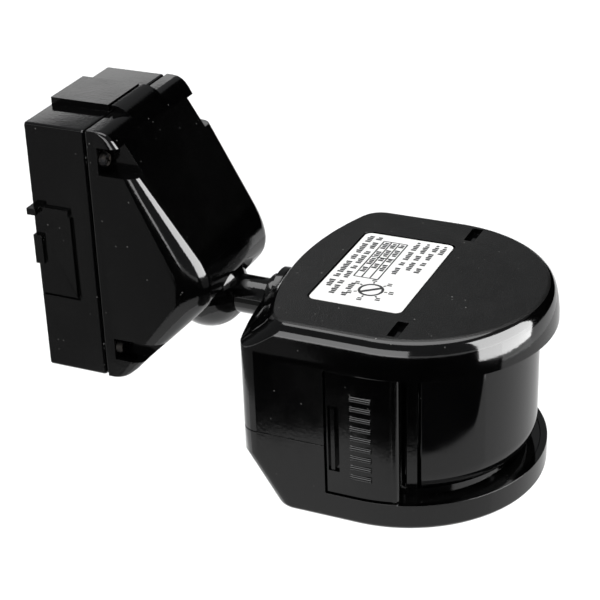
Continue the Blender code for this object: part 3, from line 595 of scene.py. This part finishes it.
def make_lens():
    """A dark window with a curled lower edge, inside the visor."""
    mid = LENS_RADIUS - 0.6
    line = [(mid, VISOR_BOTTOM - GAP - 0.1), (mid, -30.0), (mid, -46.0), (mid - 0.12, -48.0),
            (mid - 0.5, -49.6), (mid - 1.0, -50.8), (mid - 1.7, -51.8), (mid - 2.5, -52.7),
            (mid - 3.4, -53.4)]
    bm = bmesh.new()
    reach = math.radians(64)
    rows = []
    for i in range(129):
        a = -reach + 2 * reach * i / 128
        rows.append([bm.verts.new((r * math.cos(a), r * math.sin(a), z)) for r, z in line])
    for here, after in zip(rows, rows[1:]):
        for k in range(len(line) - 1):
            bm.faces.new((here[k], after[k], after[k + 1], here[k + 1]))
    lens = new_object("smoked_window", moved(finish_mesh("lens", bm), HEAD))
    shell = lens.modifiers.new("thickness", "SOLIDIFY")
    shell.thickness = 1.2 * MM
    shell.offset = 0.0
    evaluated(lens)
    soften(lens, 0.2, 2, angle=50)
    place(lens, "head", LENS, "lens")


def make_lens_frame():
    top = VISOR_BOTTOM - GAP
    reach = math.radians(74)
    item = new_object("window_frame", head_prism(ring_sector(34.2, 36.2, -reach, reach), -60.8,
                                                 -54.6))
    joins = [head_prism(ring_sector(34.7, 42.0, -reach, reach), -57.6, -55.8)]
    for side in (-1, 1):
        for inner, outer, start, end in ((35.2, 38.2, 65.4, 70.0), (34.2, 35.8, 59.0, 75.0)):
            ends = [math.radians(side * a) for a in (start, end)]
            joins.append(head_prism(ring_sector(inner, outer, *ends, 12), -57.0, top))
    carve(item, joins=joins)
    soften(item, 0.22, 2)
    place(item, "head", GLOSS, "lens_frame")


# ---------------------------------------------------------------- label

def make_label():
    low, high = LABEL_LOW - HEAD, LABEL_HIGH - HEAD
    plate = new_object("label_card", rounded_slab(low.x, high.x, low.y, high.y, low.z, high.z, 2.2))
    soften(plate, 0.05, 2, angle=50)
    place(plate, "head", LABEL, "label_plate")
    make_print(low, high)


def make_print(low, high):
    """Plain bars, rules and a dial printed on the label: no words and no numbers."""
    bm = bmesh.new()
    level = high.z + 0.012

    def quad(points):
        bm.faces.new([bm.verts.new((x, y, level)) for x, y in points])

    def bar(x0, x1, y0, y1):
        quad(((x0, y0), (x1, y0), (x1, y1), (x0, y1)))

    def words(x, y0, y1, height, lengths):
        """A line of short bars across the label, standing for a line of writing."""
        y = y1
        for index, length in enumerate(lengths * 4):
            if y - length < y0:
                break
            for part in range(max(1, int(length / 1.2))):
                tall = height * (0.8, 1.05, 0.85, 1.0)[(index + part) % 4]
                bar(x + height / 2 - tall, x + height / 2, y - part * 1.2 - 0.95,
                    y - part * 1.2)
            y -= length + 0.75

    def disc(cx, cy, outer, inner, steps=40):
        for i in range(steps):
            a, b = (2 * math.pi * k / steps for k in (i, i + 1))
            quad(((cx + outer * math.cos(a), cy + outer * math.sin(a)),
                  (cx + outer * math.cos(b), cy + outer * math.sin(b)),
                  (cx + inner * math.cos(b), cy + inner * math.sin(b)),
                  (cx + inner * math.cos(a), cy + inner * math.sin(a))))

    left, right = low.y + 2.2, high.y - 2.2
    words(low.x + 2.6, left + 1.0, right, 1.9, (5.1, 7.6, 4.2, 8.5, 3.4))
    words(low.x + 5.5, left + 2.0, right, 1.8, (3.4, 5.9, 2.5, 6.8))
    table_low, table_high = low.y + 18.5, high.y - 4.5
    for x in (7.6, 10.2, 12.9, 15.6):
        bar(low.x + x - 0.24, low.x + x + 0.24, table_low, table_high)
    for y in (table_low, (table_low + table_high) / 2 + 1.5, table_high):
        bar(low.x + 7.6, low.x + 15.6, y - 0.24, y + 0.24)
    for row, lengths in ((8.9, (5.9, 4.2)), (11.5, (4.2, 5.1, 3.4)), (14.2, (3.4, 5.9))):
        words(low.x + row, table_low + 0.8, table_high - 0.8, 1.6, lengths)
    for row, start, lengths in ((18.6, 26.0, (5.1, 6.8, 3.4)), (21.8, 26.0, (6.8, 4.2)),
                                (25.0, 26.0, (4.2, 5.9, 3.4)), (27.6, 12.0, (5.1, 5.9))):
        words(low.x + row, high.y - start, right - 1.0, 1.7, lengths)
        disc(low.x + row, right, 0.55, 0.0, steps=12)
    words(low.x + 9.4, low.y + 3.0, low.y + 14.0, 1.8, (5.9, 3.4))
    cx, cy = low.x + 16.2, low.y + 11.4
    disc(cx, cy, 4.05, 3.2)
    tilt = math.radians(38)
    along, across = Vector((math.cos(tilt), math.sin(tilt))), Vector((-math.sin(tilt),
                                                                      math.cos(tilt)))
    centre = Vector((cx, cy))
    quad([centre + along * a + across * b for a, b in ((-3.2, -0.6), (3.2, -0.6), (3.2, 0.6),
                                                       (-3.2, 0.6))])
    for i in range(7):
        a = math.radians(-150 + i * 50)
        start, end = (centre + Vector((math.cos(a), math.sin(a))) * r for r in (4.3, 5.3))
        side = Vector((-math.sin(a), math.cos(a))) * 0.28
        quad((start - side, end - side, end + side, start + side))
        spot = centre + Vector((math.cos(a), math.sin(a))) * 6.6
        bar(spot.x - 0.8, spot.x + 0.8, spot.y - 0.9, spot.y - 0.2)
        bar(spot.x - 0.8, spot.x + 0.6, spot.y + 0.15, spot.y + 0.8)
    bmesh.ops.recalc_face_normals(bm, faces=bm.faces)
    ink = new_object("label_print", moved(finish_mesh("print", bm), HEAD))
    if ink.data.polygons[0].normal.z < 0:
        ink.data.flip_normals()
    place(ink, "head", INK)


# ---------------------------------------------------------------- door

def side_path(inset, start_x, end_x):
    """The head's near side from above, at an inset: straight, then round."""
    steps = 24
    radius = HEAD_RADIUS - inset
    points = []
    for i in range(steps + 1):
        x = start_x + (end_x - start_x) * i / steps
        points.append((x, -radius if x < 0 else -math.sqrt(radius ** 2 - x ** 2)))
    return points


def make_door():
    """The door with its hinge barrel, finger grip and plain raised ribs."""
    hinge = Vector((DOOR_X[1] - 1.2, -math.sqrt((HEAD_RADIUS - 2.2) ** 2 - DOOR_X[1] ** 2), 0))
    low, high = DOOR_Z[0] + GAP, DOOR_Z[1] - GAP
    start, end = DOOR_X[0] + GAP, DOOR_X[1]
    outline = side_path(DOOR_SINK, start, end) + side_path(2.5, start, end)[::-1]
    door = new_object("side_door", head_prism(outline, low, high))
    joins = [head_rod((hinge.x, hinge.y, low), (hinge.x, hinge.y, high), 1.9, 32)]
    grip_x, face = DOOR_X[0] + 2.6, -HEAD_RADIUS + DOOR_SINK
    cuts = [head_rod((hinge.x, hinge.y, low - 1), (hinge.x, hinge.y, high + 1), 1.2, 32),
            head_box((grip_x - 1.8, face - 1, -47.0), (grip_x + 1.8, face + 1.1, -24.0))]
    carve(door, cuts, joins)
    more = [head_box((grip_x - 0.6, face - 0.65, -46.0), (grip_x + 0.6, face + 1.4, -25.0))]
    centre = 1.4
    rib_y = -math.sqrt((HEAD_RADIUS - DOOR_SINK) ** 2 - centre ** 2) + 0.35
    for i in range(DOOR_RIBS):
        z = -20.5 - i * DOOR_RIB_PITCH
        more.append(head_rod((centre - 3.3, rib_y, z), (centre + 3.3, rib_y, z), 1.0, 32))
    carve(door, joins=more)
    soften(door, 0.15, 2)
    place(door, "door", GLOSS, "adjustment_door")


# ---------------------------------------------------------------- base

def make_back_box():
    """The CAD's wall box with rounded edges and a wider groove beside each panel."""
    box = new_object("back_box", frame["nodes"]["wall_box"].data.copy())
    half = COVER_HIGH.y
    cuts = []
    for side in (-1, 1):
        ends = sorted((side * (half - 1.2), side * (half + 1)))
        cuts.append(box_mesh((13.4, ends[0], -15.6), (15.3, ends[1], 12.8)))
    carve(box, cuts)
    soften(box, 0.4, 3, angle=40)
    place(box, "base", BASE, "wall_box")


def cover_levels(inset):
    """(height, front x, corner width, corner depth) of the cover, from the top down."""
    top = COVER_HALF
    slope_top, slope_end = (31.0, 40.0), (54.0, 4.5)
    lower_start, lower_end = (55.5, -16.0), (34.0, -37.5)
    levels = [(top, 26.0), (top - 0.15, 27.2), (top - 0.7, 28.6), (top - 1.7, 29.9),
              slope_top[::-1]]
    for i in range(1, 13):
        t = i / 12
        levels.append((slope_top[1] + (slope_end[1] - slope_top[1]) * t,
                       slope_top[0] + (slope_end[0] - slope_top[0]) * t))
    levels += [(2.3, 55.4), (0.2, 56.55), (-1.9, 57.45), (-4, 58.15), (-6, 58.6), (-8, 58.8),
               (-10, 58.65), (-12, 58.15), (-14.0, 57.1), lower_start[::-1]]
    for i in range(1, 9):
        t = i / 8
        levels.append((lower_start[1] + (lower_end[1] - lower_start[1]) * t,
                       lower_start[0] + (lower_end[0] - lower_start[0]) * t))
    levels += [(-top + 3.9, 32.7), (-top + 2.6, 31.2), (-top + 1.5, 29.9), (-top + 0.7, 28.6),
               (-top + 0.2, 27.3), (-top, 26.0)]
    result = []
    for z, front in levels:
        swell = min(1.0, max(0.0, (front - 28.0) / 28.0))
        squeeze = (top - inset) / top
        result.append((z * squeeze, front - inset * 1.15, 1.2 + 6.0 * swell, 2.0 + 8.0 * swell))
    return result


def cover_solid(inset, back):
    half = COVER_HIGH.y - inset
    rings = []
    for z, front, width, depth in cover_levels(inset):
        corner = []
        for i in range(17):
            a = math.pi / 2 * i / 16
            corner.append((front - depth + depth * math.sin(a), half - width + width * math.cos(a)))
        far = [(x, y, z) for x, y in corner]
        near = [(x, -y, z) for x, y in reversed(corner)]
        rings.append([(back, half, z)] + far + near + [(back, -half, z)])
    return loft_mesh(rings)


def make_base_cover():
    start = COVER_LOW.x
    half = COVER_HIGH.y
    cover = new_object("wedge_cover", cover_solid(0.0, start))
    crown_foot = COVER_HALF - 3.0
    outline = [(start, crown_foot)]
    for x, z in arc(0.0, 1.0, 0.0, math.pi / 2, 20):
        outline.append((start + 7.2 * x, crown_foot + (COVER_HIGH.z - crown_foot) * z))
    hood = prism_mesh(outline, -10.0, 10.0)
    hood.transform(Matrix.Rotation(math.pi / 2, 4, "X"))
    hollow = new_object("hollow", cover_solid(WALL, start - 1))
    pockets = ((28.6, 37.8), (-36.2, -28.6))
    posts, wells, holes, bosses = [], [], [], []
    tilt = math.radians(35)
    axis = Vector((math.cos(tilt), 0, -math.sin(tilt)))
    for side in (-1, 1):
        for low, high in pockets:
            a, b = sorted((side * (half - 7.4), side * (half + 1)))
            posts.append(box_mesh((start - 2, a, low - 1.8), (60, b, high + 1.8)))
            a, b = sorted((side * (half - 5.6), side * (half + 2)))
            wells.append(box_mesh((25.6, a, low), (64, b, high)))
            y, z = side * (half - 2.8), (low + high) / 2
            holes.append(rod_mesh((start - 2, y, z), (27, y, z), 1.6, 24))
        foot = BALL + Vector((0, side * 18.5, 0))
        bosses.append(rod_mesh(foot - axis * 6.4, foot + axis * 1.6, 2.6, 32))
    carve(hollow, posts)
    inside = hollow.data
    bpy.data.objects.remove(hollow)
    carve(cover, [inside], [hood])
    paths = []
    for step in range(-6, 7):
        swing = NECK_SWING * step / 6
        path = Vector((math.cos(swing), math.sin(swing), math.tan(NECK_LIFT))).normalized()
        paths.append(rod_mesh(BALL, BALL + path * 26, NECK_ROD, 64))
    carve(cover, wells + holes + [ball_mesh(BALL, BALL_RADIUS + GAP)] + paths, bosses)
    soften(cover, 0.3, 3, angle=34)
    place(cover, "base", BASE, "base_cover")


def make_ball_joint():
    ball = new_object("joint_ball", ball_mesh(BALL, BALL_RADIUS))
    through = Vector((20, 0, 0))
    carve(ball, [rod_mesh(BALL - through, BALL + through, NECK_BORE)])
    soften(ball, 0.15, 2, angle=50)
    place(ball, "ball", BASE, "pivot_ball")
    seat = BALL_RADIUS + GAP
    cup = [(r, math.sqrt(seat * seat - r * r)) for r in (NECK_BORE, 4.6, 5.2, 5.8, 6.3)]
    end = NECK_SEAT - BALL.x
    profile = [(5.4, end + 7.5), (5.4, end), (8.4, end), (8.4, end - 1.8), (8.2, end - 2.2),
               (7.6, end - 2.6), (6.6, end - 2.7), (6.35, end - 3.2)] + cup[::-1]
    profile.append((NECK_BORE, end + 7.5))
    neck = new_object("joint_neck", turn_mesh(turned_mesh(profile, 72), (1, 0, 0), BALL))
    soften(neck, 0.15, 2, angle=40)
    place(neck, "neck", BASE, "ball_neck")


# ---------------------------------------------------------------- stage

def area_light(name, at, target, size, power, size_y):
    data = bpy.data.lights.new(name, "AREA")
    data.shape = "RECTANGLE"
    data.size = size
    data.size_y = size_y
    data.energy = power
    item = bpy.data.objects.new(name, data)
    item.location = at
    item.rotation_euler = (Vector(target) - Vector(at)).to_track_quat("-Z", "Y").to_euler()
    bpy.context.scene.collection.objects.link(item)
    item.visible_camera = False
    return item


def flag(name, mesh, glow=0.0):
    """A studio card seen only in reflections, which it keeps black, grey or pale."""
    card = new_object(name, mesh)
    mat = bpy.data.materials.new(name)
    mat.use_nodes = True
    shader = mat.node_tree.nodes["Principled BSDF"]
    shader.inputs["Base Color"].default_value = (0, 0, 0, 1)
    shader.inputs["Specular IOR Level"].default_value = 0.0
    shader.inputs["Emission Color"].default_value = (1, 1, 1, 1)
    shader.inputs["Emission Strength"].default_value = glow
    card.data.materials.append(mat)
    card.visible_camera = False
    card.visible_diffuse = False
    card.visible_shadow = False
    card.visible_transmission = False
    return card


def reflected_table_edge(angle):
    """Radius at which the black flags, a painted reflection of a dark table top, begin, by compass
    angle round the head.
    """
    radius = 362 + 0.009 * (angle + 60) ** 2
    if angle > -14:
        radius += 0.42 * (angle + 14) ** 2
    return radius


def flag_strip(name, start, end, near, far, glow=0.0):
    """A flag between two compass angles round the head, from (radius, z) near to far.

    A radius of None follows reflected_table_edge().
    """
    steps = 96
    bm = bmesh.new()
    rows = []
    for i in range(steps + 1):
        angle = start + (end - start) * i / steps
        a = math.radians(angle)
        row = []
        for r, z in (near, far):
            r = reflected_table_edge(angle) if r is None else r
            row.append(bm.verts.new((HEAD.x + r * math.cos(a), r * math.sin(a), z)))
        rows.append(row)
    for here, after in zip(rows, rows[1:]):
        bm.faces.new((here[0], here[1], after[1], after[0]))
    return flag(name, finish_mesh(name, bm), glow)


def make_stage():
    """Pale floor and backdrop, soft lights, and the cards that shape the gloss."""
    floor = new_object("floor", box_mesh((-FLOOR_HALF, -FLOOR_HALF, FLOOR_Z - 2),
                                         (FLOOR_HALF, FLOOR_HALF, FLOOR_Z)))
    mat, tree, shader, coords = shader_tree("pale_floor")
    tree.links.new(blend_colours(tree, noise(tree, coords, 3.0, 2.0), (0.86, 0.86, 0.86),
                                 (0.9, 0.9, 0.9)), shader.inputs["Base Color"])
    shader.inputs["Roughness"].default_value = 0.7
    floor.data.materials.append(mat)
    backdrop = flag("backdrop", rod_mesh((0, 0, FLOOR_Z - 2), (0, 0, ROOM), ROOM, 96), 1.0)
    backdrop.visible_camera = True
    backdrop.visible_glossy = False
    # Flags at this height are seen only in reflections: black ones paint a dark table top, glowing
    # ones paint pale reflections.
    table = FLOOR_Z + 5
    flag_strip("flag_table_front", -112, -2, (None, table + 5), (TABLE_FAR, table + 5))
    flag_strip("flag_table_wall", -120, -112, (None, table + 5), (610, table + 5))
    flag_strip("flag_table_left", -220, -112, (440, table), (TABLE_FAR, table), 0.19)
    flag_strip("flag_table_near", -150, -2, (150, table), (440, table), 0.72)
    flag_strip("flag_table_lens", -2, 130, (150, table), (640, table), 0.8)
    flag_strip("flag_back_right", 22, 92, (BACK, table), (BACK, 1100))
    flag_strip("flag_back_left", 119, 140, (BACK, 240), (BACK, 620), 1.3)
    world = bpy.data.worlds.new("studio")
    bpy.context.scene.world = world
    world.use_nodes = True
    sky = world.node_tree.nodes["Background"]
    sky.inputs["Color"].default_value = (0.96, 0.98, 1.0, 1.0)
    sky.inputs["Strength"].default_value = 0.2
    data = bpy.data.lights.new("ceiling", "SUN")
    data.energy = 3.4
    data.angle = math.radians(62)
    sun = bpy.data.objects.new("ceiling", data)
    bpy.context.scene.collection.objects.link(sun)
    centre = (0.1, 0.0, 0.0)
    key = area_light("key", (0.78, 0.03, 0.12), centre, 0.66, 20.0, size_y=0.72)
    key.visible_diffuse = False
    area_light("fill", (0.03, -0.92, 0.09), centre, 0.7, 3.0, size_y=0.34)


def make_camera():
    """The long lens, from above the near side; the plain view transform keeps blacks deep."""
    data = bpy.data.cameras.new("camera")
    data.lens = 103.3
    data.sensor_width = 36.0
    camera = bpy.data.objects.new("camera", data)
    view = Vector((-0.3731, 0.8043, -0.4625)).normalized()
    up = Vector((-0.1619, 0.4344, 0.886))
    right = view.cross(up).normalized()
    up = right.cross(view)
    turn = Matrix((right, up, -view)).transposed().to_4x4()
    bpy.context.scene.view_settings.view_transform = "Standard"
    camera.matrix_world = Matrix.Translation((0.2858, -0.4437, 0.2376)) @ turn
    bpy.context.scene.collection.objects.link(camera)
    bpy.context.scene.camera = camera


paint_frame()
make_camera()
make_stage()
make_back_box()
make_base_cover()
make_ball_joint()
make_top_shell()
make_bottom_shell()
make_lens()
make_lens_frame()
make_label()
make_door()
